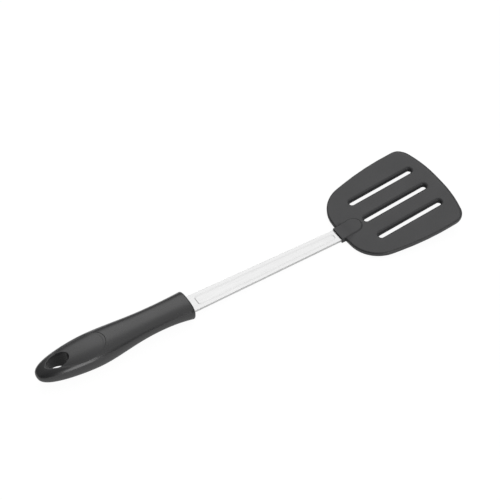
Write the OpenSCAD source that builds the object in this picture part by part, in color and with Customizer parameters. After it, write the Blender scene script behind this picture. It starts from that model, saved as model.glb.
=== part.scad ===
// Slotted spatula: a nylon blade and a moulded handle, both moulded over one stainless steel shank.
// The drawing frame has x along the shank from zero at the mouth of the handle, y across it, and
// z from zero on the middle of the steel. At the end the part is laid down on the belly of its
// handle and the heel of its blade, as it lies on a table.

/* [Blade] */
// Length of the blade from its heel to the middle of its front edge
blade_l = 92.5; // [85:0.5:110]
// Width of the blade where it is widest
blade_w = 85; // [76:1:100]
// Thickness of the blade
blade_t = 4; // [3.4:0.1:6]
// Angle by which the blade rises from the line of the shank
blade_rise = 7.2; // [0:0.2:15]
// Radius that softens the edge all round
edge_r = 1.1; // [0.4:0.1:1.5]
// Length of the bevel along the front edge
bevel_l = 3.4; // [2:0.1:6]
// Height that the bevel takes off the front edge
bevel_h = 2; // [1:0.1:2.2]

/* [Slots] */
// Width of each slot
slot_w = 4.5; // [3.6:0.1:8]
// Distance from one slot's middle to the next
slot_pitch = 19.5; // [14:0.5:22]
// Distance from the tip of the tongue to the near end of the slots
slot_back_gap = 3; // [2:0.5:10]
// Distance from the far end of the slots to the middle of the front edge
slot_front_gap = 13; // [9:0.5:30]
// Radius that softens the slots' top edges
slot_edge_r = 2.1; // [0.4:0.1:2.4]

/* [Collar and tongue] */
// Length of the collar in front of the heel
collar_l = 3; // [2:0.5:6]
// Plastic of the collar beside the steel
collar_side = 0.6; // [0.4:0.1:2]
// Plastic of the collar above and below the steel
collar_cover = 1.3; // [0.8:0.1:2.5]
// Distance from the heel to the tip of the raised tongue that covers the front tang
tongue_l = 19; // [16:0.5:26]
// Plastic of the tongue beside the front tang
tongue_side = 1.1; // [0.6:0.1:3]
// Plastic of the tongue beyond the tip of the front tang
tongue_end = 1.6; // [1.1:0.1:4]
// Height of the tongue above the blade
tongue_h = 0.8; // [0.4:0.1:1.5]
// Width of the slope round the tongue
tongue_slope = 1; // [0.3:0.1:2]

/* [Shank] */
// Length of the shank between the handle and the collar
free_l = 132.5; // [100:0.5:180]
// Thickness of the steel
shank_t = 2; // [1.5:0.1:2.2]
// Width of the shank at the mouth of the handle
shank_back_w = 15; // [13:0.1:16]
// Width of the shank at the collar
shank_front_w = 11.8; // [10:0.1:13]
// Distance from the mouth of the handle to the pressed channel
channel_back_gap = 7; // [4:0.5:20]
// Distance from the pressed channel to the collar
channel_front_gap = 2.4; // [2:0.2:20]
// Width of the flat border on each side of the channel
channel_border = 2.1; // [1.5:0.1:3]
// Depth to which the channel is pressed
channel_h = 0.5; // [0.2:0.1:1]
// Radius of the channel's corners
channel_r = 1.6; // [0.5:0.1:2]

/* [Tangs] */
// Distance from the end of the tang inside the handle to the hang hole
tang_gap = 20.4; // [16:0.1:40]
// Width of the tang inside the handle
tang_w = 11; // [8:0.5:12]
// How far the shank runs into the handle at full width
shoulder_l = 5; // [3:0.5:10]
// Diameter of the anchor holes in the tang
tang_hole_d = 5; // [3:0.5:6]
// Diameter of the anchor hole inside the blade
front_hole_d = 5; // [3:0.5:6]
// Gap left between plastic and steel where the plastic shrank on to it
mould_gap = 0.05; // [0:0.01:0.2]

/* [Handle] */
// Length of the handle
handle_l = 124; // [116:1:150]
// Width of the mouth
mouth_w = 24; // [20:0.1:28]
// Height of the mouth
mouth_t = 15.9; // [13.5:0.1:20]
// Width of the waist
waist_w = 20.7; // [17:0.1:24]
// Height of the waist
waist_t = 13; // [12:0.1:18]
// Distance from the mouth to the waist
waist_at = 26; // [15:1:40]
// Width of the belly
belly_w = 27.1; // [24:0.1:34]
// Height of the belly
belly_t = 18.9; // [16:0.1:24]
// Distance from the belly to the tail
belly_gap = 44; // [38:1:54]
// Height of the mouth's middle above the middle of the steel
mouth_rise = 1.2; // [0:0.1:3]
// Height of the waist's middle above the middle of the steel
waist_rise = 2.8; // [0:0.1:3]
// Height of the belly's middle above the middle of the steel
belly_rise = 0.8; // [-1:0.1:2]
// Height of the tail's middle above the middle of the steel
tail_rise = 0.4; // [-1:0.1:2]
// Radius of the mouth's edge
mouth_edge_r = 1.6; // [0.5:0.1:2]

/* [Hang hole and panel] */
// Length of the hang hole along the handle
hang_l = 16.8; // [14:0.1:20]
// Width of the hang hole
hang_w = 11.2; // [8:0.1:13]
// Distance from the middle of the hang hole to the tail
hang_gap = 17.2; // [16.6:0.1:24]
// Length of the oval panel in the top of the handle
panel_l = 48.4; // [46:0.1:60]
// Width of the oval panel
panel_w = 21.8; // [19:0.1:23]
// Share by which the panel is fuller towards the mouth than towards the tail
panel_fuller = 0.3; // [0:0.05:0.4]
// Distance from the middle of the panel to the tail
panel_gap = 30.8; // [30:0.1:36]
// Depth of the panel below the skin round it
panel_h = 0.4; // [0.2:0.1:1]

/* [Hidden] */

// Cuts run past what they cut by this much
overrun = 1;
// Longest straight step along an outline, and the widest turn of one step
step_l = 5;
step_turn = 6;
// Radii of the blade's outline at the heel, the shoulder, the side, the corner and the front
heel_r = 6;
shoulder_r = 27;
side_r = 215;
corner_r = 11.6;
front_r = 104;
// Corners of the outline before rounding, as shares of the blade's length and half width
heel_share = [0, 0.146];
shoulder_share = [0.02, 0.79];
side_share = [0.555, 1.016];
corner_share = [0.927, 0.993];
front_share = [1, 0.456];
// The bevel fades in where the outline's normal has turned this far to the front
bevel_from_share = 0.35;
bevel_full_share = 0.9;
// Radius of the bend where the steel turns up into the blade
bend_r = 12;
// Radius of the tang's back corners
tang_r = 2;
// Radius of the front tang's round end, as a share of half its width
tip_share = 0.96;
// Places of the anchor holes along the tang inside the handle
tang_hole_shares = [0.3, 0.62];
// Place of the anchor hole along the tang inside the blade
front_hole_share = 0.62;
// Exponent of the handle's section, where two is an ellipse
section_power = 2.6;
// Exponents of the handle's sides between waist and belly, and round the tail
belly_power = 1.15;
tail_power = 1.6;
tail_root = 2.8;
// Points round one section, and sections along each part of the handle
section_n = 40;
neck_n = 8;
back_n = 16;
tail_n = 18;
edge_n = 3;
// The last section at the tail closes at this share of the tail's length
tail_end_share = 0.9995;
// Facets of round cuts
$fn = 64;

// Places and sizes that follow from the ones above
heel_x = free_l + collar_l;
belly_at = handle_l - belly_gap;
hang_at = handle_l - hang_gap;
panel_at = handle_l - panel_gap;
tang_l = hang_at - hang_l / 2 - tang_gap;
front_tang_l = tongue_l - tongue_end;
tongue_w = shank_front_w + 2 * tongue_side;
collar_w = shank_front_w + 2 * collar_side;
collar_t = shank_t + 2 * collar_cover;
slot_start = tongue_l + slot_back_gap;
slot_l = blade_l - slot_start - slot_front_gap;
// Greatest height that any cut has to pass
tall = belly_t + 2 * overrun;

function unit(v) = v / norm(v);
function left_of(v) = [-v.y, v.x];
function mix(a, b, share) = a + (b - a) * share;
function clamp_share(a) = max(0, min(1, a));
// Runs smoothly from 0 to 1 as a share runs from 0 to 1
function ease(share) = (1 - cos(180 * clamp_share(share))) / 2;
function flat_list(lists) = [for (l = lists) for (p = l) p];
function reversed(list) = [for (i = [len(list) - 1:-1:0]) list[i]];
// Corners with y above zero, followed by their mirror images below it
function both_sides(half) = concat(half, [for (p = reversed(half)) [p.x, -p.y]]);
function twice(radii) = concat(radii, reversed(radii));

// A corner b between a and c, rounded: its points, each with the outline's normal there
function round_corner(a, b, c, r) = r == 0 ? [[b, [0, 0]]] :
    let (
        d1 = unit(b - a),
        d2 = unit(c - b),
        turn = acos(max(-1, min(1, d1 * d2))),
        centre = b - r * tan(turn / 2) * d1 + r * left_of(d1),
        start = atan2(-d1.x, d1.y),
        n = max(1, ceil(turn / step_turn), ceil(r * turn * PI / 180 / step_l))
    )
    [for (k = [0:n]) let (f = [cos(start + turn * k / n), sin(start + turn * k / n)]) [centre + r * f, f]];

// A closed outline, anticlockwise, from its corners and their radii
function rounded(corners, radii) =
    let (n = len(corners))
    flat_list([for (i = [0:n - 1])
        round_corner(corners[(i + n - 1) % n], corners[i], corners[(i + 1) % n], radii[i])]);
function places(outline) = [for (o = outline) o[0]];

// Faces of a skin over a stack of rings that all have n points, with a flat cap at each end
function skin_faces(rings_n, n) = concat(
    [[for (i = [0:n - 1]) i]],
    [for (k = [0:rings_n - 2]) for (i = [0:n - 1]) [k * n + i, (k + 1) * n + i, (k + 1) * n + (i + 1) % n]],
    [for (k = [0:rings_n - 2]) for (i = [0:n - 1])
        [k * n + i, (k + 1) * n + (i + 1) % n, k * n + (i + 1) % n]],
    [[for (i = [n - 1:-1:0]) (rings_n - 1) * n + i]]
);
module skin(rings) {
    polyhedron(points = flat_list(rings), faces = skin_faces(len(rings), len(rings[0])), convexity = 6);
}

// The blade's outline on its own plane, with x from the heel to the front
blade_size = [blade_l, blade_w / 2];
function blade_corner(share) = [share.x * blade_size.x, share.y * blade_size.y];
half_corners = [for (s = [front_share, corner_share, side_share, shoulder_share, heel_share]) blade_corner(s)];
half_radii = [front_r, corner_r, side_r, shoulder_r, heel_r];
blade_outline = rounded(both_sides(half_corners), twice(half_radii));

// How much of the front bevel the edge has where its normal is f
function bevel_share(f) = ease((f.x - bevel_from_share) / (bevel_full_share - bevel_from_share));
function edge_point(o, inset, z) = [o[0].x - inset * o[1].x, o[0].y - inset * o[1].y, z];
// Rings from the underside up the rounded edge, and over it to the top
under_rings = [for (k = [0:edge_n]) let (a = 90 - 90 * k / edge_n)
    [for (o = blade_outline) edge_point(o, edge_r * (1 - cos(a)), -blade_t / 2 + edge_r * (1 - sin(a)))]];
top_rings = [for (k = [0:edge_n]) let (a = 90 * k / edge_n)
    [for (o = blade_outline)
        let (b = bevel_share(o[1]), run = mix(edge_r, bevel_l, b), drop = mix(edge_r, bevel_h, b))
        edge_point(o, run * (1 - cos(a)), blade_t / 2 - drop * (1 - sin(a)))]];
blade_rings = concat(under_rings, top_rings);

// A size of the handle at a distance s from its mouth: from mouth to waist, and on to the belly
function along(s, mouth, waist, belly) =
    s < waist_at ? mix(waist, mouth, pow(1 - s / waist_at, 2))
    : mix(waist, belly, ease(pow((s - waist_at) / (belly_at - waist_at), belly_power)));
// How far a place beyond the belly is along the way to the tail, and the fullness left there
function tail_share(s) = max(0, s - belly_at) / (handle_l - belly_at);
function fullness(s) = pow(1 - pow(tail_share(s), tail_power), 1 / tail_root);
function half_w(s) = along(min(s, belly_at), mouth_w, waist_w, belly_w) * fullness(s) / 2;
function half_t(s) = along(min(s, belly_at), mouth_t, waist_t, belly_t) * fullness(s) / 2;
function middle_z(s) =
    along(min(s, belly_at), mouth_rise, waist_rise, belly_rise) + (tail_rise - belly_rise) * pow(tail_share(s), 2);

// One section of the handle, drawn in by inset, anticlockwise seen from the tail
function rounder(a) = sign(a) * pow(abs(a), 2 / section_power);
function section(s, inset = 0) = [for (i = [0:section_n - 1]) let (a = 360 * i / section_n)
    [-s, (inset - half_w(s)) * rounder(cos(a)), middle_z(s) + (half_t(s) - inset) * rounder(sin(a))]];
section_places = concat(
    [for (k = [1:neck_n]) mix(mouth_edge_r, waist_at, k / neck_n)],
    [for (k = [1:back_n]) mix(waist_at, belly_at, k / back_n)],
    [for (k = [1:tail_n]) mix(belly_at, handle_l, tail_end_share * sin(90 * k / tail_n))]
);
handle_rings = concat(
    [for (k = [0:edge_n]) let (a = 90 * k / edge_n) section(mouth_edge_r * (1 - cos(a)), mouth_edge_r * (1 - sin(a)))],
    [for (s = section_places) section(s)]
);

// How the finished part lies: turned about y by a pitch, and moved to the middle of its footprint
function pitched(p, pitch) = [p.x * cos(pitch) + p.z * sin(pitch), p.y, p.z * cos(pitch) - p.x * sin(pitch)];
function on_blade(p) = let (a = blade_rise) [heel_x + p.x * cos(a) - p.z * sin(a), p.y, p.x * sin(a) + p.z * cos(a)];
handle_points = flat_list(handle_rings);
blade_points = [for (p = flat_list(blade_rings)) on_blade(p)];
collar_points = [for (x = [free_l, heel_x + edge_r]) [x, 0, -collar_t / 2]];
head_points = concat(blade_points, collar_points);
function lowest(points, pitch) =
    let (heights = [for (p = points) pitched(p, pitch).z])
    points[search(min(heights), heights)[0]];
// The pitch at which the handle and the head both touch the table
function settle(pitch, rounds) =
    rounds == 0 ? pitch
    : let (back = lowest(handle_points, pitch), front = lowest(head_points, pitch))
      settle(atan2(front.z - back.z, front.x - back.x), rounds - 1);
pitch = settle(0, 4);
laid_points = [for (p = concat(handle_points, head_points)) pitched(p, pitch)];
laid_x = [for (p = laid_points) p.x];
laid_z = [for (p = laid_points) p.z];
middle_x = (min(laid_x) + max(laid_x)) / 2;

module laid() {
    translate([-middle_x, 0, -min(laid_z)]) rotate([0, pitch, 0]) children();
}
module at_blade() {
    translate([heel_x, 0, 0]) rotate([0, -blade_rise, 0]) children();
}

// A slot with round ends and soft top edges, cut along x from zero to its length
module slot_cut(length, width, depth, top_r) {
    r = width / 2;
    side = concat(
        [[r, -depth / 2 - overrun], [r, depth / 2 - top_r]],
        [for (a = [15:15:90]) [r + top_r * (1 - cos(a)), depth / 2 - top_r * (1 - sin(a))]],
        [[r + top_r, depth / 2 + overrun]]
    );
    half = concat([[0, -depth / 2 - overrun]], side, [[0, depth / 2 + overrun]]);
    both = concat(side, [for (i = [len(side) - 1:-1:0]) [-side[i].x, side[i].y]]);
    for (x = [r, length - r])
        translate([x, 0, 0]) rotate_extrude() polygon(half);
    translate([r, 0, 0]) rotate([90, 0, 90]) linear_extrude(length - width) polygon(both);
}

// The steel seen from above, grown all round by a gap
module shank_plan(gap) {
    tip_x = heel_x + front_tang_l * cos(blade_rise) + gap;
    front = shank_front_w / 2 + gap;
    back = shank_back_w / 2 + gap;
    tang = tang_w / 2 + gap;
    half = [[tip_x, front], [free_l, front], [0, back], [-shoulder_l - gap, back],
        [-shoulder_l - gap, tang], [-tang_l - gap, tang]];
    radii = [front * tip_share, 0, 0, 0, 0, tang_r];
    polygon(places(rounded(both_sides(half), twice(radii))));
}

// The steel seen from the side: straight, then bent up into the blade
module shank_side(gap) {
    half = shank_t / 2 + gap;
    reach = bend_r * tan(blade_rise / 2);
    centre = [heel_x - reach, bend_r];
    bend = [for (k = [0:3]) -90 + blade_rise * k / 3];
    far = heel_x + front_tang_l * cos(blade_rise) + overrun;
    far_z = (far - heel_x) * tan(blade_rise);
    lift = half / cos(blade_rise);
    polygon(concat(
        [[-tang_l - overrun, -half]],
        [for (a = bend) centre + (bend_r + half) * [cos(a), sin(a)]],
        [[far, far_z - lift], [far, far_z + lift]],
        [for (i = [3:-1:0]) centre + (bend_r - half) * [cos(bend[i]), sin(bend[i])]],
        [[-tang_l - overrun, half]]
    ));
}

// The whole steel strip with its anchor holes, or the room that it takes with a gap all round
module steel(gap = 0) {
    wide = shank_back_w + 2 * overrun;
    difference() {
        intersection() {
            translate([0, wide / 2, 0]) rotate([90, 0, 0]) linear_extrude(wide) shank_side(gap);
            translate([0, 0, -tall / 2]) linear_extrude(tall) shank_plan(gap);
        }
        for (share = tang_hole_shares)
            translate([-tang_l * share, 0, -shank_t]) cylinder(d = tang_hole_d - 2 * gap, h = 2 * shank_t);
        at_blade() translate([front_tang_l * front_hole_share, 0, -shank_t])
            cylinder(d = front_hole_d - 2 * gap, h = 2 * shank_t);
    }
}

// The pressed channel seen from above, drawn in by an inset
module channel_plan(inset) {
    from = channel_back_gap + inset;
    to = free_l - channel_front_gap - inset;
    function border_w(x) = mix(shank_back_w, shank_front_w, x / free_l) / 2 - channel_border - inset;
    corners = [[to, -border_w(to)], [to, border_w(to)], [from, border_w(from)], [from, -border_w(from)]];
    r = channel_r - inset;
    polygon(places(rounded(corners, [r, r, r, r])));
}

module blade() {
    color("#4f4f4f") laid() difference() {
        union() {
            at_blade() skin(blade_rings);
            at_blade() tongue();
            translate([free_l, -collar_w / 2, -collar_t / 2]) cube([collar_l + edge_r, collar_w, collar_t]);
        }
        at_blade() for (side = [-1, 0, 1])
            translate([slot_start, side * slot_pitch, 0]) slot_cut(slot_l, slot_w, blade_t, slot_edge_r);
        steel(mould_gap);
    }
}

// The raised tongue over the front tang, with sloping sides and a round end
module tongue() {
    r = tongue_w / 2;
    low = blade_t / 2 - overrun;
    high = blade_t / 2 + tongue_h;
    half = [[0, low], [r, low], [r, blade_t / 2], [r - tongue_slope, high], [0, high]];
    both = concat([for (i = [1:3]) half[i]], [for (i = [3:-1:1]) [-half[i].x, half[i].y]]);
    translate([tongue_l - r, 0, 0]) rotate_extrude() polygon(half);
    translate([edge_r, 0, 0]) rotate([90, 0, 90]) linear_extrude(tongue_l - r - edge_r) polygon(both);
}

module shank() {
    color("#dcdcda") laid() difference() {
        union() {
            steel();
            translate([0, 0, -shank_t / 2 - channel_h]) linear_extrude(shank_t / 2) channel_plan(0);
        }
        translate([0, 0, shank_t / 2 - channel_h]) linear_extrude(shank_t) channel_plan(channel_h / 2);
    }
}

module handle() {
    color("#474747") laid() difference() {
        skin(handle_rings);
        panel_cut();
        translate([-hang_at, 0, -tall / 2]) linear_extrude(tall) oval(hang_l, hang_w);
        steel(mould_gap);
    }
}

// An oval along x, fuller at its front end by a share
module oval(length, width, fuller = 0) {
    polygon([for (a = [0:6:354])
        [length / 2 * cos(a), width / 2 * sin(a) * (1 + fuller * cos(a))]]);
}

// What the oval panel takes off the top of the handle: the skin, to an even depth
module panel_cut() {
    difference() {
        translate([-panel_at, 0, 0]) linear_extrude(tall) oval(panel_l, panel_w, panel_fuller);
        translate([0, 0, -panel_h]) skin(handle_rings);
    }
}

blade();
shank();
handle();
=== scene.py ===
# %% [markdown]
# A slotted spatula, dressed for its portrait
#
# The object is a kitchen turner made of three pieces: a nylon blade with three slots, one strip of
# stainless steel with a long pressed channel, and a moulded handle with a hang hole. A CAD model
# already fixes every size. Here each piece is modelled again as smooth, finished geometry around
# that frame, and gets a material that works from the object's own coordinates. Nothing is drawn
# from a picture, so the pieces look right from every side.

# %% Load the frame
import math

import bmesh
import bpy
from mathutils import Matrix, Vector


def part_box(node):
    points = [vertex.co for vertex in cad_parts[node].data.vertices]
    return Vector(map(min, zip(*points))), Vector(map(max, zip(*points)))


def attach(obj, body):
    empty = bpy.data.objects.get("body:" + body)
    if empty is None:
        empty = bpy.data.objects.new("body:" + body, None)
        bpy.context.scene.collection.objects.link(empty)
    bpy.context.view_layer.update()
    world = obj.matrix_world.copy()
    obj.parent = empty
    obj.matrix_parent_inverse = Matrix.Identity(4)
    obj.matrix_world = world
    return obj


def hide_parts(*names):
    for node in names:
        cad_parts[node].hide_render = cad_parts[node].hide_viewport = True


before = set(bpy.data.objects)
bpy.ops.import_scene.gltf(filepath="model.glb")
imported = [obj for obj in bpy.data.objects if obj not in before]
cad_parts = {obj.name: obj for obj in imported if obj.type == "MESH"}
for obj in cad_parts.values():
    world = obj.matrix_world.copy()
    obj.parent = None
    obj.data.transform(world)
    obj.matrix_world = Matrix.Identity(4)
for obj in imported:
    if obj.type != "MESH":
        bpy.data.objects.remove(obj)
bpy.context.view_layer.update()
print("CAD nodes:", sorted(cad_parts))

# %% [markdown]
# Two frames are used. Everyone thinks of this object with the steel lying level, so the pieces are
# drawn that way, in millimetres: x runs along the steel from zero at the mouth of the handle, and
# z is zero in the middle of the steel. The finished part lies on its belly and heel, which turns
# that drawing by a small pitch. One matrix does the turn, the move and the change to metres, and
# a second one tilts the blade up from the end of the steel. A third frame would only confuse.

# %% The two drawing frames
MM = 0.001
PITCH = math.radians(1.69357)
MIDDLE_X, LOW = 51.8332, -6.33609
BLADE_RISE = math.radians(7.2)
FREE_L, COLLAR_L = 132.5, 3.0
HEEL_X = FREE_L + COLLAR_L

laid = (Matrix.Scale(MM, 4) @ Matrix.Translation((-MIDDLE_X, 0, -LOW))
        @ Matrix.Rotation(PITCH, 4, "Y"))
on_blade = Matrix.Translation((HEEL_X, 0, 0)) @ Matrix.Rotation(-BLADE_RISE, 4, "Y")
print("the heel lies at", [round(c / MM, 1) for c in laid @ Vector((HEEL_X, 0, 0))], "mm")

# %% [markdown]
# The camera comes first, so that every later step can be looked at from where the photographer
# stood. A product photograph like this one is taken from about a metre away with a long lens,
# which keeps the near and the far end almost the same size. The view is given by the side that
# the camera looks from, how steeply it looks down, a slight roll, and the point it looks at.

# %% The camera
AZIMUTH, ELEVATION, ROLL = (math.radians(a) for a in (-33.01, 49.64, 0.51))
LOOK_AT = Vector((2.02, 0.48, 34.85)) * MM
DISTANCE = 1.2
SENSOR_MM, IMAGE_PIXELS, FOCAL_PIXELS = 36, 500, 1650.7
LENS_MM = FOCAL_PIXELS * SENSOR_MM / IMAGE_PIXELS

side = Vector((math.cos(AZIMUTH), math.sin(AZIMUTH), 0))
ahead = Vector((-math.sin(AZIMUTH) * math.cos(ELEVATION),
                math.cos(AZIMUTH) * math.cos(ELEVATION), -math.sin(ELEVATION)))
above = side.cross(ahead)
right = side * math.cos(ROLL) + above * math.sin(ROLL)
up = above * math.cos(ROLL) - side * math.sin(ROLL)
camera_data = bpy.data.cameras.new("camera")
camera_data.lens = LENS_MM
camera_data.sensor_width = SENSOR_MM
camera = bpy.data.objects.new("camera", camera_data)
camera.matrix_world = Matrix.Translation(LOOK_AT - ahead * DISTANCE) @ Matrix(
    (right, up, -ahead)).transposed().to_4x4()
bpy.context.scene.collection.objects.link(camera)
bpy.context.scene.camera = camera
print("lens", round(LENS_MM, 1), "mm")

# %% [markdown]
# Every outline on this object is made of straight runs and round corners, as a toolmaker draws
# with ruler and compass. Blender's spin does the same: it takes one point round a centre and
# leaves an arc behind it. A circle primitive cut into pieces would also do, but then each radius
# has to be matched by eye, and here the corners and radii are known.

# %% Ruler and compass
# Points nearer than this, in mm, are one point
SAME_POINT = 1e-4


def merge_points(bm, first, second, place):
    """Merges two points at a place, and returns the one that is left."""
    bmesh.ops.pointmerge(bm, verts=[first, second], merge_co=place)
    return first if first.is_valid else second


def draw_outline(bm, corners, radii, step=math.radians(5)):
    """Draws a closed anticlockwise line with an arc at each corner, and returns its points."""
    points = []
    for i, radius in enumerate(radii):
        before, here, after = (Vector(corners[k % len(corners)]).to_3d() for k in (i - 1, i, i + 1))
        coming, going = (here - before).normalized(), (after - here).normalized()
        turn = math.atan2(coming.cross(going).z, coming.dot(going))
        start = bmesh.ops.create_vert(bm, co=here - coming * radius * math.tan(turn / 2))["vert"][0]
        points.append(start)
        if radius > 0:
            left = Vector((-coming.y, coming.x, 0))
            arc = bmesh.ops.spin(bm, geom=[start], cent=start.co + left * radius, axis=(0, 0, 1),
                                 angle=turn, steps=max(2, math.ceil(turn / step)))
            end = next(g for g in arc["geom_last"] if isinstance(g, bmesh.types.BMVert))
            point, edge = start, None
            while point is not end:
                edge = next(e for e in point.link_edges if e is not edge)
                point = edge.other_vert(point)
                points.append(point)
    ring = points[:1]
    for point in points[1:]:
        if (point.co - ring[-1].co).length < SAME_POINT:
            ring[-1] = merge_points(bm, ring[-1], point, point.co)
            continue
        bmesh.ops.contextual_create(bm, geom=[ring[-1], point])
        ring.append(point)
    if (ring[-1].co - ring[0].co).length < SAME_POINT:
        last = ring.pop()
        ring[0] = merge_points(bm, ring[0], last, ring[0].co)
    else:
        bmesh.ops.contextual_create(bm, geom=[ring[-1], ring[0]])
    return ring


def edges_of(bm, ring):
    """The edges of a closed ring of points."""
    return [bm.edges.get((a, b)) for a, b in zip(ring, ring[1:] + ring[:1])]


def rectangle(low_x, low_y, high_x, high_y):
    """A rectangle's corners, anticlockwise from its lowest."""
    return [(low_x, low_y), (high_x, low_y), (high_x, high_y), (low_x, high_y)]


trial = bmesh.new()
ring = draw_outline(trial, rectangle(0, 0, 10, 4), [2] * 4)
print("a trial outline:", len(ring), "points, length",
      round(sum(e.calc_length() for e in edges_of(trial, ring)), 2), "mm")
trial.free()

# %% [markdown]
# A moulded edge is never sharp: the steel mould has a small radius all round, and light runs along
# it. The bevel operator could round a finished edge, but on this blade the front edge is long and
# thin while the other edges are round, and the change between them is gradual. So the outline is
# extruded a ring at a time, and each new ring is put where the edge's profile has it. The last
# ring on each flat side is one extra, close to the one before it: it lies flat, so the smooth
# shading of the round edge doesn't creep across the flat face.

# %% Rings
STRAIGHT_UP = Vector((0, 0, 1))
MITRE_LIMIT = 0.3


def outward(ring):
    """The direction straight out at each point, longer at a sharp corner, up to the limit."""
    points = [v.co.copy() for v in ring]
    result = []
    for i, here in enumerate(points):
        coming = (here - points[i - 1]).normalized()
        going = (points[(i + 1) % len(points)] - here).normalized()
        normal = (coming + going).normalized().cross(STRAIGHT_UP)
        result.append(normal / max(normal.dot(coming.cross(STRAIGHT_UP)), MITRE_LIMIT))
    return result


def next_ring(bm, ring, spots):
    """Extrudes a closed ring and puts each new point on its own spot."""
    made = bmesh.ops.extrude_edge_only(bm, edges=edges_of(bm, ring))["geom"]
    new = {g for g in made if isinstance(g, bmesh.types.BMVert)}
    grown = []
    for point, spot in zip(ring, spots):
        twin = next(e.other_vert(point) for e in point.link_edges if e.other_vert(point) in new)
        twin.co = spot
        grown.append(twin)
    return grown


def follow_profile(bm, ring, profiles):
    """Takes a ring through its profile: for each point a list of (distance outwards, height)."""
    base, out = [v.co.copy() for v in ring], outward(ring)
    for k in range(len(profiles[0])):
        spots = [b + o * p[k][0] + Vector((0, 0, p[k][1])) for b, o, p in zip(base, out, profiles)]
        if k == 0:
            for point, spot in zip(ring, spots):
                point.co = spot
            first = ring
        else:
            ring = next_ring(bm, ring, spots)
    return first, ring


def quarter(steps=6):
    """Angles from 0 to 90 degrees."""
    return [math.radians(90 * k / steps) for k in range(steps + 1)]


print("a quarter turn is drawn in", len(quarter()) - 1, "steps")

# %% [markdown]
# Finished pieces are handed over in one way: the mesh is turned into the row's frame, so that the
# object itself sits unturned at the origin, the faces are smoothed, the piece is hung on the body
# that carries it, and the CAD node that it stands for is hidden.

# %% Handing over a finished piece
SHARP_ANGLE = math.radians(30)


def open_edges(bm):
    """How many edges lack a face on one side. A closed mesh has none."""
    return sum(not e.is_manifold for e in bm.edges)


def finish_piece(bm, name, node, placing=laid):
    bmesh.ops.transform(bm, matrix=placing, verts=bm.verts)
    bmesh.ops.recalc_face_normals(bm, faces=bm.faces)
    for face in bm.faces:
        face.smooth = True
    mesh = bpy.data.meshes.new(name)
    bm.to_mesh(mesh)
    bm.free()
    mesh.set_sharp_from_angle(angle=SHARP_ANGLE)
    piece = bpy.data.objects.new(name, mesh)
    bpy.context.scene.collection.objects.link(piece)
    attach(piece, "root")
    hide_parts(node)
    low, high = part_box(node)
    corners = [v.co for v in mesh.vertices]
    print(name, len(mesh.vertices), "points; furthest from the CAD node's box:", round(max(
        max(abs(min(c[i] for c in corners) - low[i]), abs(max(c[i] for c in corners) - high[i]))
        for i in range(3)) / MM, 2), "mm")
    return piece


print("edges sharper than", round(math.degrees(SHARP_ANGLE)), "degrees stay crisp")

# %% [markdown]
# The blade is one nylon moulding. Its outline has ten corners: a short straight heel where the
# steel goes in, two wide shoulders, two nearly straight sides and two front corners. The edge is
# fully rounded, and along the front it is drawn out to a thin scraping edge. Its outline could be
# a curve that is filled and bevelled, but a mesh made from rings lets the slots share its faces.

# %% The blade's outline and its rounded edge
BLADE_L, BLADE_W, BLADE_T = 92.5, 85.0, 4.0
EDGE_R, BEVEL_L, BEVEL_H = 1.1, 3.4, 2.0
SUPPORT = 0.4
# The edge starts to thin where it faces this far ahead, and is thinnest at the second value
BEVEL_FROM, BEVEL_FULL = 0.35, 0.9
# One half's corners from the front edge to the heel, as shares of the length and of the half width
CORNER_SHARES = ((1, 0.456), (0.927, 0.993), (0.555, 1.016), (0.02, 0.79), (0, 0.146))
CORNER_RADII = [104, 11.6, 215, 27, 6]
half_corners = [(x * BLADE_L, y * BLADE_W / 2) for x, y in CORNER_SHARES]
outline_corners = half_corners + [(x, -y) for x, y in reversed(half_corners)]


def ease(share):
    """A soft start and end for a share that runs from 0 to 1."""
    return (1 - math.cos(math.pi * max(0, min(1, share)))) / 2


def blade_profile(normal):
    """Round the edge from the flat underside to the flat top, thinner where it faces ahead."""
    bevel = ease((normal.x - BEVEL_FROM) / (BEVEL_FULL - BEVEL_FROM))
    run = EDGE_R + (BEVEL_L - EDGE_R) * bevel
    drop = EDGE_R + (BEVEL_H - EDGE_R) * bevel
    under = [(-EDGE_R * (1 - math.sin(a)), -BLADE_T / 2 + EDGE_R * (1 - math.cos(a)))
             for a in quarter()]
    over = [(-run * (1 - math.cos(a)), BLADE_T / 2 - drop * (1 - math.sin(a))) for a in quarter()]
    return [(-EDGE_R - SUPPORT, -BLADE_T / 2)] + under + over + [(-run - SUPPORT, BLADE_T / 2)]


blade_bm = bmesh.new()
ring = draw_outline(blade_bm, outline_corners, CORNER_RADII + CORNER_RADII[::-1],
                    step=math.radians(4))
under_ring, top_ring = follow_profile(blade_bm, ring, [blade_profile(n) for n in outward(ring)])
print("blade outline:", len(ring), "points")

# %% [markdown]
# The three slots let fat and water through. In the photograph their far walls fade softly into
# the top face, which says that the top edge of each slot has a wide radius, close to two
# millimetres. The underside keeps a small one. Each slot is one more ring, taken down through
# the plate, and then the flat faces are filled between all the rings at once.

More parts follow.
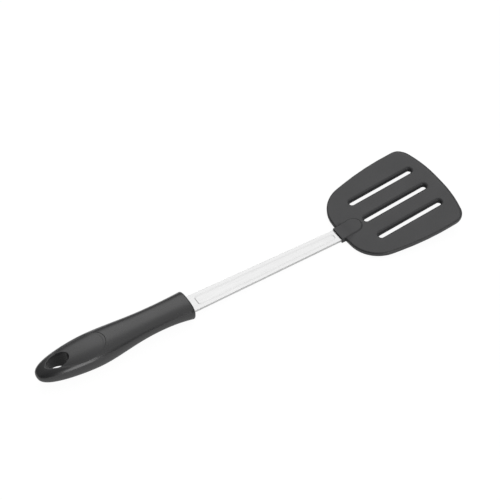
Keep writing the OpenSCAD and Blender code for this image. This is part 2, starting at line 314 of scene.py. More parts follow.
# %% The slots and the flat faces
SLOT_W, SLOT_START, SLOT_L, SLOT_PITCH = 4.5, 22.0, 57.5, 19.5
SLOT_TOP_R, SLOT_UNDER_R = 2.1, 0.15
slot_profile = (
    [(SLOT_TOP_R + SUPPORT, BLADE_T / 2)]
    + [(SLOT_TOP_R * (1 - math.sin(a)), BLADE_T / 2 - SLOT_TOP_R * (1 - math.cos(a)))
       for a in quarter()]
    + [(SLOT_UNDER_R * (1 - math.cos(a)), -BLADE_T / 2 + SLOT_UNDER_R * (1 - math.sin(a)))
       for a in quarter(3)]
    + [(SLOT_UNDER_R + SUPPORT, -BLADE_T / 2)])
top_edges, under_edges = edges_of(blade_bm, top_ring), edges_of(blade_bm, under_ring)
for lane in (-1, 0, 1):
    y, r = lane * SLOT_PITCH, SLOT_W / 2
    slot_corners = rectangle(SLOT_START, y - r, SLOT_START + SLOT_L, y + r)
    ring = draw_outline(blade_bm, slot_corners, [r] * 4, step=math.radians(10))
    first, last = follow_profile(blade_bm, ring, [slot_profile] * len(ring))
    top_edges += edges_of(blade_bm, first)
    under_edges += edges_of(blade_bm, last)
bmesh.ops.triangle_fill(blade_bm, use_beauty=True, edges=top_edges, normal=(0, 0, 1))
bmesh.ops.triangle_fill(blade_bm, use_beauty=True, edges=under_edges, normal=(0, 0, -1))
bmesh.ops.recalc_face_normals(blade_bm, faces=blade_bm.faces)
print("blade plate:", len(blade_bm.faces), "faces,", open_edges(blade_bm), "open edges")

# %% [markdown]
# Where the steel goes in, the moulding has two more forms. The first is a low tongue over the
# hidden tang. Its slope is a little wider at the front than at the sides, and its back runs down
# as a ramp into the top of the collar, so that no step shows there. A bisect gives the flat top
# new points where the ramp starts, and the points at the back are then lowered.

# %% The tongue
TONGUE_W, TONGUE_L, TONGUE_H = 14.0, 19.0, 0.8
SIDE_SLOPE, FRONT_SLOPE, SLOPE_STEPS, INTO_PLATE = 1.0, 1.4, 4, 1.0
# The slope's soft upper edge: shares of the slope's width, and how far below the top
TONGUE_LIP = ((0.93, 0.03), (1.15, 0), (1.6, 0))
# Where the ramp starts, which share of the height is left at its back, how far back it is drawn
# out, and how near the back a point has to be to be lowered
RAMP_L, RAMP_SHARE, RAMP_BACK, BACK_PART = 5.0, 0.375, 2.2, 2.0


def cap(bm, edges):
    """Closes a ring of edges with one flat face."""
    return bmesh.ops.contextual_create(bm, geom=edges)["faces"]


def cut_across(bm, x):
    """Gives a mesh new points where the plane straight across it at x cuts it."""
    bmesh.ops.bisect_plane(bm, geom=bm.verts[:] + bm.edges[:] + bm.faces[:],
                           plane_co=(x, 0, 0), plane_no=(1, 0, 0), dist=SAME_POINT)


def tongue_profile(normal):
    """From inside the plate up the tongue's slope to its flat top; the slope is wider ahead."""
    slope = SIDE_SLOPE + (FRONT_SLOPE - SIDE_SLOPE) * max(0, normal.x)
    foot, high = BLADE_T / 2, BLADE_T / 2 + TONGUE_H
    rise = [(-slope * k / SLOPE_STEPS, foot + TONGUE_H * k / SLOPE_STEPS)
            for k in range(SLOPE_STEPS)]
    lip = [(-slope * share, high - below) for share, below in TONGUE_LIP]
    return [(0, foot - INTO_PLATE)] + rise + lip


def tongue_solid():
    """The tongue as a closed solid, with its ramp."""
    bm = bmesh.new()
    r, start = TONGUE_W / 2, EDGE_R
    ring = draw_outline(bm, rectangle(start, -r, TONGUE_L, r), [0, r, r, 0])
    first, last = follow_profile(bm, ring, [tongue_profile(n) for n in outward(ring)])
    cap(bm, edges_of(bm, first))
    cap(bm, edges_of(bm, last))
    cut_across(bm, RAMP_L)
    for point in bm.verts:
        if point.co.x < start + BACK_PART and point.co.z > BLADE_T / 2:
            rise = point.co.z - BLADE_T / 2
            point.co.x = start - RAMP_BACK * rise / TONGUE_H
            point.co.z = BLADE_T / 2 + rise * RAMP_SHARE
    bmesh.ops.recalc_face_normals(bm, faces=bm.faces)
    return bm


tongue_bm = tongue_solid()
print("tongue:", len(tongue_bm.faces), "faces,", open_edges(tongue_bm), "open edges")

# %% [markdown]
# The second form is a small square collar round the strip, a bevelled cube. Joining both to the
# plate with a Boolean gives the crisp line that shows at the tongue's foot, as a real mould's
# inserts do. Modelling that line by hand would mean matching the points of three shapes.

# %% The collar, and the three forms joined
COLLAR_W, COLLAR_T, COLLAR_EDGE, COLLAR_IN = 13.0, 4.6, 0.5, 2.4
TINY_EDGE = 1e-3


def collar_solid():
    """The collar as a closed solid, from the end of the free steel into the blade."""
    bm = bmesh.new()
    length = COLLAR_L + COLLAR_IN
    bmesh.ops.create_cube(bm, size=1)
    bmesh.ops.scale(bm, vec=(length, COLLAR_W, COLLAR_T), verts=bm.verts)
    bmesh.ops.translate(bm, vec=(FREE_L + length / 2, 0, 0), verts=bm.verts)
    bmesh.ops.bevel(bm, geom=bm.edges[:], offset=COLLAR_EDGE, segments=4, affect="EDGES",
                    profile=0.5, material=-1)
    bmesh.ops.transform(bm, matrix=on_blade.inverted(), verts=bm.verts)
    return bm


def join_solids(solids):
    """Joins closed solids into one mesh, free of the tiny edges that a Boolean leaves."""
    objects = []
    for bm in solids:
        mesh = bpy.data.meshes.new("part")
        bm.to_mesh(mesh)
        bm.free()
        objects.append(bpy.data.objects.new("part", mesh))
        bpy.context.scene.collection.objects.link(objects[-1])
    for other in objects[1:]:
        join = objects[0].modifiers.new("join", "BOOLEAN")
        join.operation, join.solver, join.object = "UNION", "EXACT", other
    joined = bmesh.new()
    joined.from_mesh(objects[0].evaluated_get(bpy.context.evaluated_depsgraph_get()).to_mesh())
    bmesh.ops.dissolve_degenerate(joined, edges=joined.edges, dist=TINY_EDGE)
    joined.normal_update()
    for item in objects:
        bpy.data.objects.remove(item)
    return joined


blade_bm = join_solids([blade_bm, tongue_bm, collar_solid()])
print("joined:", len(blade_bm.faces), "faces,", open_edges(blade_bm), "open edges")
blade = finish_piece(blade_bm, "nylon_blade", "blade", placing=laid @ on_blade)

# %% [markdown]
# The steel starts as a flat blank, stamped from 2 mm stainless sheet. A press then sinks a long
# shallow channel into it, which stiffens it, and a last tool bends the front tang up to the angle
# of the blade. The model is made in the same order: outline, edge, channel, bend. The tangs are
# hidden in the plastic, but a steel strip without them wouldn't be this piece.

# %% The steel blank
# Widths at the handle and at the blade, then the two tangs
SHANK_T, BACK_W, FRONT_W = 2.0, 15.0, 11.8
TANG_L, TANG_W, SHOULDER_L, FRONT_TANG_L = 78.0, 11.0, 5.0, 17.4
STEEL_EDGE_R, STEEL_SUPPORT = 0.3, 0.25
TIP_R, TANG_R = FRONT_W / 2 * 0.96, 2.0
tip_x = HEEL_X + FRONT_TANG_L
half_blank = [(tip_x, FRONT_W / 2), (FREE_L, FRONT_W / 2), (0, BACK_W / 2),
              (-SHOULDER_L, BACK_W / 2), (-SHOULDER_L, TANG_W / 2), (-TANG_L, TANG_W / 2)]
blank_corners = half_blank + [(x, -y) for x, y in reversed(half_blank)]
half_blank_radii = [TIP_R, 0, 0, 0, 0, TANG_R]

shank_bm = bmesh.new()
ring = draw_outline(shank_bm, blank_corners, half_blank_radii + half_blank_radii[::-1])
half_t, r = SHANK_T / 2, STEEL_EDGE_R
steel_profile = (
    [(-r - STEEL_SUPPORT, -half_t)]
    + [(-r * (1 - math.sin(a)), -half_t + r * (1 - math.cos(a))) for a in quarter(3)]
    + [(-r * (1 - math.cos(a)), half_t - r * (1 - math.sin(a))) for a in quarter(3)]
    + [(-r - STEEL_SUPPORT, half_t)])
under_ring, top_ring = follow_profile(shank_bm, ring, [steel_profile] * len(ring))
steel_top, steel_under = edges_of(shank_bm, top_ring), edges_of(shank_bm, under_ring)
print("blank outline:", len(ring), "points")

# %% [markdown]
# The channel's long walls are wide and soft, so that they hardly show, and its two ends are short
# and crisp. It is pressed, so the underside bulges by as much as the top sinks. Three round
# holes in the tangs come last. In the moulding the plastic flows through them and locks the steel.

# %% The pressed channel and the anchor holes
# From the handle, from the collar, from the strip's sides, then the depth and the corners
BACK_GAP, FRONT_GAP, BORDER, CHANNEL_H, CHANNEL_R = 7.0, 2.4, 2.1, 0.25, 3.0
SIDE_WALL, END_WALL, WALL_STEPS = 2.6, 1.0, 8
ANCHOR_D = 5.0
# Two holes in the rear tang and one in the front tang
anchor_places = (-TANG_L * 0.3, -TANG_L * 0.62, HEEL_X + FRONT_TANG_L * 0.62)


def channel_corners():
    """The channel keeps the same border to the strip's tapering sides."""
    start, end = BACK_GAP, FREE_L - FRONT_GAP
    half = [(BACK_W + (FRONT_W - BACK_W) * x / FREE_L) / 2 - BORDER for x in (start, end)]
    return [(start, -half[0]), (end, -half[1]), (end, half[1]), (start, half[0])]


def channel_profile(normal, face_z):
    """Down the channel's wall, which is wide and soft at the sides and short at the two ends."""
    wall = END_WALL + (SIDE_WALL - END_WALL) * min(1, abs(normal.y))
    sink = [(-wall * k / WALL_STEPS, face_z - CHANNEL_H * ease(k / WALL_STEPS))
            for k in range(WALL_STEPS + 1)]
    return [(STEEL_SUPPORT, face_z)] + sink + [(-wall - STEEL_SUPPORT, face_z - CHANNEL_H)]


for face_z, flat in ((half_t, steel_top), (-half_t, steel_under)):
    ring = draw_outline(shank_bm, channel_corners(), [CHANNEL_R] * 4, step=math.radians(10))
    profiles = [channel_profile(n, face_z) for n in outward(ring)]
    first, last = follow_profile(shank_bm, ring, profiles)
    flat += edges_of(shank_bm, first)
    cap(shank_bm, edges_of(shank_bm, last))
for x in anchor_places:
    r = ANCHOR_D / 2
    ring = draw_outline(shank_bm, rectangle(x - r, -r, x + r, r), [r] * 4, step=math.radians(15))
    first, last = follow_profile(shank_bm, ring, [[(0, half_t), (0, -half_t)]] * len(ring))
    steel_top += edges_of(shank_bm, first)
    steel_under += edges_of(shank_bm, last)
bmesh.ops.triangle_fill(shank_bm, use_beauty=True, edges=steel_top, normal=(0, 0, 1))
bmesh.ops.triangle_fill(shank_bm, use_beauty=True, edges=steel_under, normal=(0, 0, -1))
print("pressed blank:", len(shank_bm.faces), "faces,", open_edges(shank_bm), "open edges")

# %% [markdown]
# To bend a flat mesh it needs points where it bends. Bisect cuts the strip straight across at a
# few places, and the points beyond the start of the bend are then swung round the bend's centre.

# %% The bend
BEND_R, BEND_CUTS = 12.0, 5
reach = BEND_R * math.tan(BLADE_RISE / 2)
bend_start = HEEL_X - reach
for k in range(BEND_CUTS):
    cut_across(shank_bm, bend_start + 2 * reach * k / (BEND_CUTS - 1))
for point in shank_bm.verts:
    along = point.co.x - bend_start
    if along > 0:
        angle = min(along / (2 * reach), 1) * BLADE_RISE
        rest = max(0, along - 2 * reach)
        height = point.co.z
        point.co.x = bend_start + (BEND_R - height) * math.sin(angle) + rest * math.cos(angle)
        point.co.z = BEND_R - (BEND_R - height) * math.cos(angle) + rest * math.sin(angle)
shank = finish_piece(shank_bm, "steel_shank", "shank")

# %% [markdown]
# The handle is a smooth tapering form: a waist near the mouth, a belly for the palm, and a round
# tail with the hang hole. A modeller could push a subdivided box about until it looks right. Here
# the sizes are known, so its skin is worked as a flat map first: one direction is the distance
# from the mouth, the other is the turn round the section, and the height is how far a point
# stands off the skin. The panel and the hang hole are cut into the flat map, where that is easy,
# and the map is then rolled up into the handle.

# %% The handle's sizes along its length
HANDLE_L, WAIST_AT, BELLY_AT = 124.0, 26.0, 80.0
# At the mouth, the waist and the belly; the rises say how far the middle lies above the steel's
WIDTHS, HEIGHTS, RISES = (24.0, 20.7, 27.1), (15.9, 13.0, 18.9), (1.2, 2.8, 0.8)
TAIL_RISE, MOUTH_R = 0.4, 1.6
# 2 would be an ellipse and 1 an even swelling; the tail's two values set how bluntly it closes
SECTION_POWER, BELLY_POWER, TAIL_POWER, TAIL_ROOT = 2.6, 1.15, 1.6, 2.8


def between(a, b, share):
    """The value at a share of the way from a to b."""
    return a + (b - a) * share


def along_handle(s, sizes):
    """A size at distance s from the mouth: mouth to waist, waist to belly."""
    mouth, waist, belly = sizes
    if s < WAIST_AT:
        return between(waist, mouth, (1 - s / WAIST_AT) ** 2)
    return between(waist, belly, ease(((s - WAIST_AT) / (BELLY_AT - WAIST_AT)) ** BELLY_POWER))


def tail_share(s):
    """How far s lies along the tail, from 0 at the belly to 1 at its end."""
    return min(1, max(0, s - BELLY_AT) / (HANDLE_L - BELLY_AT))


def half_size(s, sizes):
    """Half the width or height at s, which closes to nothing at the tail's end."""
    fullness = max(0, 1 - tail_share(s) ** TAIL_POWER) ** (1 / TAIL_ROOT)
    return along_handle(min(s, BELLY_AT), sizes) * fullness / 2


def middle_height(s):
    """The height of the section's middle at s."""
    return (along_handle(min(s, BELLY_AT), RISES)
            + (TAIL_RISE - RISES[2]) * tail_share(s) ** 2)


def soften(value):
    """Turns a circle's sine or cosine into that of the fuller section."""
    return math.copysign(abs(value) ** (2 / SECTION_POWER), value)


print("belly", round(half_size(BELLY_AT, WIDTHS) * 2, 1), "mm wide")

# %% [markdown]
# Two functions connect the map with the handle. One rolls a place on the map onto the handle, and
# draws it in a little round the mouth's edge. The other finds the place on the map that lies under
# a point seen from above, so that an oval can be drawn as an oval and not as it looks unrolled.

# %% From the map to the handle and back
def rolled(point):
    """From the flat map (distance, turn in degrees, height) to a place on the handle."""
    s, turn, lift = point.x, math.radians(point.y), point.z
    inset = 0
    if s < MOUTH_R:
        inset = MOUTH_R - math.sqrt(MOUTH_R ** 2 - (MOUTH_R - s) ** 2)
    across = (half_size(s, WIDTHS) - inset) * soften(math.cos(turn))
    rise = (half_size(s, HEIGHTS) - inset) * soften(math.sin(turn))
    return Vector((-s, across, middle_height(s) + rise + lift))


def on_map(x, y, side):
    """The turn on the map of a point of the top (side 1) or underside (side -1)."""
    share = min(1, abs(y) / half_size(x, WIDTHS)) ** (SECTION_POWER / 2)
    turn = math.degrees(math.acos(math.copysign(share, y)))
    return turn if side > 0 else 360 - turn


print("the belly's top is at", [round(c, 1) for c in rolled(Vector((BELLY_AT, 90, 0)))], "mm")

# %% [markdown]
# The map starts as a plain grid. Its columns are moved so that they lie close together at the
# mouth's edge and at the tail, where the form turns quickly. Two windows are then opened in it,
# one above and one below, for the hang hole, and the map is rolled up: its two long sides meet and
# are merged, and the tail closes in a point.

# %% The flat map with its two windows, rolled up
WINDOW_FROM, WINDOW_TO, WINDOW_TURN = BELLY_AT - 22, 121.8, 24
AROUND, TAIL_COLUMNS, HALF_GRID = 64, 22, 0.5
places = [MOUTH_R * (1 - math.cos(a)) for a in quarter(5)]
for start, end, columns in (
        (MOUTH_R, WAIST_AT, 10), (WAIST_AT, WINDOW_FROM, 12), (WINDOW_FROM, BELLY_AT, 8)):
    places += [between(start, end, k / columns) for k in range(1, columns + 1)]
places += [between(BELLY_AT, HANDLE_L, math.sin(a)) for a in quarter(TAIL_COLUMNS)[1:]]
handle_bm = bmesh.new()
bmesh.ops.create_grid(handle_bm, x_segments=len(places) - 1, y_segments=AROUND,
                      size=HALF_GRID)
for point in handle_bm.verts:
    column = round((point.co.x + HALF_GRID) * (len(places) - 1))
    row = round((point.co.y + HALF_GRID) * AROUND)
    point.co = (places[column], row * 360 / AROUND, 0)


def open_window(side):
    """Deletes the faces of a window, and returns its border as {point: place on the map}."""
    faces = []
    for face in handle_bm.faces:
        middle = face.calc_center_median()
        turn = middle.y if side > 0 else 360 - middle.y
        if WINDOW_FROM < middle.x < WINDOW_TO and WINDOW_TURN < turn < 180 - WINDOW_TURN:
            faces.append(face)
    # A point on the border keeps at least one of its four faces
    inside = set(faces)
    border = [v for v in handle_bm.verts if 0 < len(inside.intersection(v.link_faces)) < 4]
    bmesh.ops.delete(handle_bm, geom=faces, context="FACES")
    return {v: v.co.copy() for v in border}


windows = {side: open_window(side) for side in (1, -1)}
for point in handle_bm.verts:
    point.co = rolled(point.co)
print("each window has", [len(w) for w in windows.values()], "points on its border")

# %% [markdown]
# From the upper window a chain of rings now runs to the lower one: over the panel's soft wall,
# across the panel, round the lip of the hole, down through the handle and out over the lower lip.
# Each ring is an oval with as many points as the window's border. The panel's wall goes 0.4 mm
# down in two steps with a ledge at the front. The hole is a little narrower below than above, by
# the mould's draft, and its lips are round so that they don't cut the hand.

# %% The ovals of the panel and the hang hole
HANG_L, HANG_W, HANG_AT = 16.8, 11.2, 106.8
PANEL_L, PANEL_W, PANEL_AT, PANEL_H, PANEL_FULLER = 48.4, 21.8, 93.2, 0.4, 0.3
# The panel's wall: how far each ring stands outside the outline in mm, the share of the depth
# that it has reached, and by how many mm its front end is shortened
PANEL_WALL = (
    (0.2, 0, 0), (0, 0, 0), (-0.15, 0.35, 0), (-0.3, 0.55, 0), (-0.5, 0.68, 0), (-0.65, 0.7, 0),
    (-0.8, 0.7, 1.1), (-0.9, 0.76, 1.2), (-1.05, 0.94, 1.4), (-1.2, 1, 1.6))
LIP_R, LIP_SUPPORT, DRAFT = 0.4, 0.15, 0.4


def oval(length, width, middle, side, lift, fuller=0.0, shorter=0.0):
    """An oval's places on the map, fuller or shorter towards the mouth if wanted."""
    result = []
    for k in range(len(windows[side])):
        turn = math.tau * k / len(windows[side])
        reach = length / 2 - (shorter if math.cos(turn) < 0 else 0)
        x = middle + math.cos(turn) * reach
        y = math.sin(turn) * width / 2 * (1 - fuller * math.cos(turn))
        result.append(Vector((x, on_map(x, y, side), lift)))
    return result


def panel_oval(grow, share, shorter):
    """A ring of the panel's wall."""
    return oval(PANEL_L + 2 * grow, PANEL_W + 2 * grow, PANEL_AT, 1, -PANEL_H * share,
                PANEL_FULLER, shorter)


def hole_oval(grow, drop, side):
    """A ring of one of the hole's lips, so far below the face round it."""
    start = -PANEL_H if side > 0 else 0
    return oval(HANG_L + 2 * grow, HANG_W + 2 * grow, HANG_AT, side, start - side * drop)


panel_wall = [panel_oval(*step) for step in PANEL_WALL]
lip = [(LIP_R + LIP_SUPPORT, 0)]
lip += [(LIP_R * (1 - math.sin(a)), LIP_R * (1 - math.cos(a))) for a in quarter()]
upper_lip = [hole_oval(grow, drop, 1) for grow, drop in lip]
lower_lip = [hole_oval(grow - DRAFT, drop, -1) for grow, drop in lip[::-1]]
print("panel wall:", len(panel_wall), "rings; each lip:", len(lip), "rings")

# %% [markdown]
# The chain starts at the points of the upper window's border, in order, and extrudes one ring
# after the other, with blended rings where the way is long. The last ring lies on the lower
# window's border and is merged with it. A Boolean would cut the hole too, but would leave uneven
# faces round it. The mouth then gets its flat end, with one more ring inside its rounded edge so
# that it shades flat.

# %% The chain of rings, and the mouth
BLEND, LONG_BLEND = 5, 9
# A point this little before the tail still counts as the first
SAME_TURN = 0.01


def in_order(border):
    """The border's points in order round the panel's middle, from the tail on."""
    return sorted(border, key=lambda v: (
        math.atan2(v.co.y, -v.co.x - PANEL_AT) + SAME_TURN) % math.tau)


def blend(first, second, steps):
    """The rings between two rings."""
    return [[a.lerp(b, k / steps) for a, b in zip(first, second)] for k in range(1, steps)]


upper, lower = in_order(windows[1]), in_order(windows[-1])
upper_map, lower_map = [windows[1][v] for v in upper], [windows[-1][v] for v in lower]
above_hole = (blend(upper_map, panel_wall[0], BLEND) + panel_wall
              + blend(panel_wall[-1], upper_lip[0], BLEND) + upper_lip)
below_hole = lower_lip + blend(lower_lip[-1], lower_map, LONG_BLEND) + [lower_map]
chain, below = [[[rolled(spot) for spot in ring] for ring in part]
                for part in (above_hole, below_hole)]
ring = upper
for spots in chain + blend(chain[-1], below[0], BLEND) + below:
    ring = next_ring(handle_bm, ring, spots)
bmesh.ops.remove_doubles(handle_bm, verts=handle_bm.verts, dist=SAME_POINT)

end = cap(handle_bm, [e for e in handle_bm.edges if e.is_boundary])
bmesh.ops.inset_region(handle_bm, faces=end, thickness=SUPPORT, use_even_offset=True)
print("handle:", len(handle_bm.faces), "faces,", open_edges(handle_bm), "open edges")
handle = finish_piece(handle_bm, "moulded_handle", "handle")

# %% [markdown]
# Materials next. Colours are written as sRGB hex values, as a paint chart gives them, and one
# function turns them to the linear values that Blender works in. One more function adds a node,
# with its settings and with each input set to a value or linked to another node. An input is
# named, or numbered where a node has several of one name.

# %% Colour and node helpers
def linear(code):
    """An sRGB hex colour as linear red, green, blue and alpha."""
    parts = [int(code[i:i + 2], 16) / 255 for i in (1, 3, 5)]
    return [c / 12.92 if c <= 0.04045 else ((c + 0.055) / 1.055) ** 2.4 for c in parts] + [1.0]


def add_node(tree, kind, inputs=None, **settings):
    """Adds a node with its settings, and sets or links its inputs."""
    node = tree.nodes.new(kind)
    for name, value in settings.items():
        setattr(node, name, value)
    for name, value in (inputs or {}).items():
        if isinstance(value, bpy.types.NodeSocket):
            tree.links.new(value, node.inputs[name])
        else:
            node.inputs[name].default_value = value
    return node


def new_material(name):
    """An empty material and its node tree."""
    material = bpy.data.materials.new(name)
    material.use_nodes = True
    material.node_tree.nodes.clear()
    return material, material.node_tree


print("mid grey #808080 is", round(linear("#808080")[0], 3))

# %% [markdown]
# Nylon 66 and polypropylene look alike when they are dark grey: both come out of a mould whose
# steel was spark-eroded to a fine matt grain, so they shine softly and show no sharp reflection.
# A photograph of the surface can't be used, so the grain is noise, worked out from its real size.
# The true grain is about a tenth of a millimetre and wouldn't show, so it is drawn at 0.5 mm. A
# second, wide noise makes the colour and the shine of the plastic vary a little.

# %% The two plastics
GRAIN_MM, MOTTLE_MM = 0.5, 18.0
# Most of a noise's values lie between these two
NOISE_LOW, NOISE_HIGH = 0.3, 0.7
ROUGHNESS_VARIES = 0.03


def moulded_plastic(name, light, dark, roughness, specular, grain_mm):
    """A moulded plastic that wanders between two tones, with a grain of the given depth."""
    material, tree = new_material(name)
    place = add_node(tree, "ShaderNodeTexCoord").outputs["Object"]
    mottle = add_node(tree, "ShaderNodeTexNoise", {
        "Vector": place, "Scale": 1 / (MOTTLE_MM * MM), "Detail": 3.0, "Roughness": 0.55})
    grain = add_node(tree, "ShaderNodeTexNoise", {
        "Vector": place, "Scale": 1 / (GRAIN_MM * MM), "Detail": 2.0, "Roughness": 0.6})
    colour = add_node(tree, "ShaderNodeMix", {
        "Factor": mottle.outputs["Fac"], 6: linear(dark), 7: linear(light)}, data_type="RGBA")
    shine = add_node(tree, "ShaderNodeMapRange", {
        "Value": mottle.outputs["Fac"], "From Min": NOISE_LOW, "From Max": NOISE_HIGH,
        "To Min": roughness - ROUGHNESS_VARIES, "To Max": roughness + ROUGHNESS_VARIES})
    bump = add_node(tree, "ShaderNodeBump", {
        "Height": grain.outputs["Fac"], "Strength": 0.35, "Distance": grain_mm * MM})
    skin = add_node(tree, "ShaderNodeBsdfPrincipled", {
        "Base Color": colour.outputs[2], "Roughness": shine.outputs["Result"], "IOR": 1.5,
        "Specular IOR Level": specular, "Normal": bump.outputs["Normal"]})
    add_node(tree, "ShaderNodeOutputMaterial", {"Surface": skin.outputs["BSDF"]})
    return material


nylon = moulded_plastic("matt moulded nylon", light="#3d3d3e", dark="#39393b",
                        roughness=0.42, specular=0.45, grain_mm=0.03)
polypropylene = moulded_plastic("satin moulded polypropylene", light="#373738", dark="#333334",
                                roughness=0.27, specular=0.5, grain_mm=0.02)
blade.data.materials.append(nylon)
handle.data.materials.append(polypropylene)
print("plastics:", nylon.name, "/", polypropylene.name)

# %% [markdown]
# The strip is stainless steel, brushed along its length. The brush leaves very fine scratches, and
# each one spreads a reflection across the strip and hardly along it, so the strip looks almost
# white from end to end under a white ceiling. The shader's anisotropy does this, and its tangent
# is the direction across the strip. Real brush lines are a few hundredths of a millimetre apart.
# They are drawn at 0.5 mm so that they show, by stretching noise along the strip.

# %% Brushed stainless steel
BRUSH_MM, BRUSH_RUN_MM = 0.5, 40.0
STEEL_SMOOTH, STEEL_ROUGH = 0.36, 0.42
steel, tree = new_material("brushed stainless steel")
place = add_node(tree, "ShaderNodeTexCoord").outputs["Object"]
stretched = add_node(tree, "ShaderNodeMapping", {
    "Vector": place, "Scale": (1 / (BRUSH_RUN_MM * MM), 1 / (BRUSH_MM * MM), 1 / (BRUSH_MM * MM))})
lines = add_node(tree, "ShaderNodeTexNoise", {
    "Vector": stretched.outputs["Vector"], "Scale": 1.0, "Detail": 3.0, "Roughness": 0.6})
tone = add_node(tree, "ShaderNodeMix", {
    "Factor": lines.outputs["Fac"], 6: linear("#cbcbcb"), 7: linear("#d3d3d3")}, data_type="RGBA")
gloss = add_node(tree, "ShaderNodeMapRange", {
    "Value": lines.outputs["Fac"], "From Min": NOISE_LOW, "From Max": NOISE_HIGH,
    "To Min": STEEL_SMOOTH, "To Max": STEEL_ROUGH})
ridges = add_node(tree, "ShaderNodeBump", {
    "Height": lines.outputs["Fac"], "Strength": 0.12, "Distance": 0.01 * MM})
across = add_node(tree, "ShaderNodeCombineXYZ", {"X": 0.0, "Y": 1.0, "Z": 0.0})
metal = add_node(tree, "ShaderNodeBsdfPrincipled", {
    "Base Color": tone.outputs[2], "Metallic": 1.0, "Roughness": gloss.outputs["Result"],
    "Anisotropic": 0.8, "Tangent": across.outputs["Vector"], "Normal": ridges.outputs["Normal"]})
add_node(tree, "ShaderNodeOutputMaterial", {"Surface": metal.outputs["BSDF"]})
shank.data.materials.append(steel)
print("metal:", steel.name)

# %% [markdown]
# The photograph has a pure white ground and no visible edge to it. A floor that really is that
# white would also throw a lot of light up under the object, which the photograph doesn't show. So
# the floor is plain grey for the light that it passes on, and nearly white where the camera or a
# reflection sees it. A part of what is seen stays real shading, so the soft shadow remains. Close
# under the object a reflection sees the floor darker, because there the object covers it.

# %% The floor
# In metres: the floor's half side, and how near the object a place counts as covered
FLOOR_REACH, COVER_REACH = 4.0, 0.04
floor_bm = bmesh.new()
bmesh.ops.create_grid(floor_bm, x_segments=1, y_segments=1, size=FLOOR_REACH)
floor_mesh = bpy.data.meshes.new("floor")
floor_bm.to_mesh(floor_mesh)
floor_bm.free()
floor = bpy.data.objects.new("floor", floor_mesh)
bpy.context.scene.collection.objects.link(floor)

paper, tree = new_material("white studio paper")
ray = add_node(tree, "ShaderNodeLightPath")
cover = add_node(tree, "ShaderNodeAmbientOcclusion", {"Distance": COVER_REACH}, samples=8)
in_gloss = add_node(tree, "ShaderNodeMath", {
    0: ray.outputs["Is Glossy Ray"], 1: cover.outputs["AO"]}, operation="MULTIPLY")
in_view = add_node(tree, "ShaderNodeMath", {
    0: ray.outputs["Is Camera Ray"], 1: in_gloss.outputs[0]}, operation="MAXIMUM")
seen = add_node(tree, "ShaderNodeMath", {
    0: in_view.outputs[0], 1: ray.outputs["Is Transmission Ray"]}, operation="MAXIMUM")
passed_on = add_node(tree, "ShaderNodeBsdfDiffuse", {"Color": linear("#9a9a9a")})
shaded = add_node(tree, "ShaderNodeBsdfDiffuse", {"Color": linear("#606060")})
glow = add_node(tree, "ShaderNodeEmission", {"Color": linear("#ffffff"), "Strength": 0.95})
bright = add_node(tree, "ShaderNodeAddShader", {0: shaded.outputs[0], 1: glow.outputs[0]})
mix = add_node(tree, "ShaderNodeMixShader", {
    "Fac": seen.outputs[0], 1: passed_on.outputs[0], 2: bright.outputs[0]})
add_node(tree, "ShaderNodeOutputMaterial", {"Surface": mix.outputs[0]})
floor.data.materials.append(paper)
print("floor:", paper.name)

# %% [markdown]
# The light is a plain soft studio. Most of it comes from a broad white ceiling over the front and
# the far side, with a soft skylight in it that the steel and the tops of the plastic reflect. Low
# down the room is dim, so the edges and the slots' walls stay dark. Three lamps would be more
# usual, but the ceiling's slow fade is what shapes these dark plastics. Each part of the ceiling
# is one fade over a direction: X is ahead, Y is the far side, Z is up.

# %% The room
def towards(azimuth, elevation):
    """The direction at so many degrees round from +X and up from the floor."""
    around, rise = math.radians(azimuth), math.radians(elevation)
    return Vector((math.cos(around) * math.cos(rise), math.sin(around) * math.cos(rise),
                   math.sin(rise)))


SKYLIGHT = towards(58, 44)
# What each fade reads, where it starts and ends, and its level at these two
FADES = {
    "ceiling": ("Z", 0.3, 0.68, 0.0, 1.0),
    "front half": ("X", -0.35, 0.35, 0.0, 1.0),
    "less straight ahead": ("X", 0.55, 0.8, 1.0, 0.3),
    "more from the far side": ("Y", -0.35, 0.45, 0.9, 1.0),
    "skylight": ("skylight", 0.885, 1.0, 0.0, 0.8),
    "walls": ("Y", -0.3, 0.6, 0.06, 0.34),
    "walls rise": ("Z", 0.0, 0.4, 0.3, 1.0)}
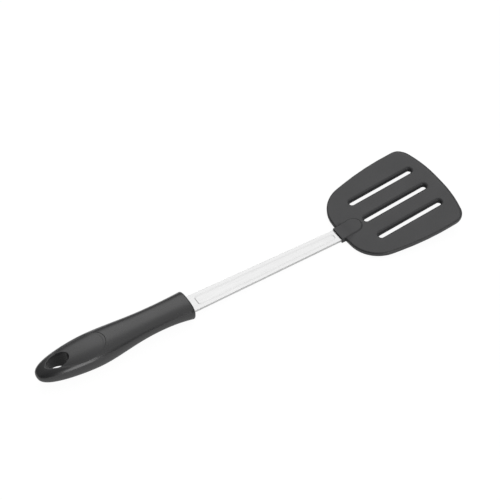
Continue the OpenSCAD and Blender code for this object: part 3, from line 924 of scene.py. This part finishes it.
# How the fades are put together
MIXES = (
    ("front ceiling", "MULTIPLY", "ceiling", "front half"),
    ("sides", "MULTIPLY", "more from the far side", "less straight ahead"),
    ("broad light", "MULTIPLY", "front ceiling", "sides"),
    ("dim walls", "MULTIPLY", "walls", "walls rise"),
    ("the rest", "ADD", "skylight", "dim walls"),
    ("whole room", "ADD", "broad light", "the rest"))

world = bpy.data.worlds.new("studio")
bpy.context.scene.world = world
world.use_nodes = True
tree = world.node_tree
tree.nodes.clear()
way = add_node(tree, "ShaderNodeTexCoord").outputs["Generated"]
split = add_node(tree, "ShaderNodeSeparateXYZ", {"Vector": way})
facing = add_node(tree, "ShaderNodeVectorMath", {0: way, 1: SKYLIGHT}, operation="DOT_PRODUCT")
readings = {axis: split.outputs[axis] for axis in "XYZ"} | {"skylight": facing.outputs["Value"]}
level = {}
for name, (reading, start, end, low, high) in FADES.items():
    level[name] = add_node(tree, "ShaderNodeMapRange", {
        "Value": readings[reading], "From Min": start, "From Max": end, "To Min": low,
        "To Max": high}, interpolation_type="SMOOTHSTEP").outputs["Result"]
for name, operation, first, second in MIXES:
    level[name] = add_node(tree, "ShaderNodeMath", {0: level[first], 1: level[second]},
                           operation=operation).outputs[0]
sky = add_node(tree, "ShaderNodeBackground", {
    "Color": linear("#ffffff"), "Strength": level["whole room"]})
add_node(tree, "ShaderNodeOutputWorld", {"Surface": sky.outputs[0]})
print("the room:", len(FADES), "fades,", len(MIXES), "mixes")

# %% [markdown]
# One tall softbox on the near side draws the highlight along the handle's ridge. Room and softbox
# together light an upward face at about the level of 1, at which a colour renders about as it is
# written. The Standard view then shows each colour as it is, without a film's own curve.

# %% The softbox
SOFTBOX_AT = towards(-92, 17) * 1.5
SOFTBOX_W, SOFTBOX_H, SOFTBOX_WATTS = 0.5, 0.9, 7.5
light = bpy.data.lights.new("tall near softbox", "AREA")
light.shape, light.size, light.size_y = "RECTANGLE", SOFTBOX_W, SOFTBOX_H
light.energy = SOFTBOX_WATTS
lamp = bpy.data.objects.new(light.name, light)
lamp.location = SOFTBOX_AT
lamp.rotation_euler = (-SOFTBOX_AT).to_track_quat("-Z", "Y").to_euler()
bpy.context.scene.collection.objects.link(lamp)
bpy.context.scene.view_settings.view_transform = "Standard"
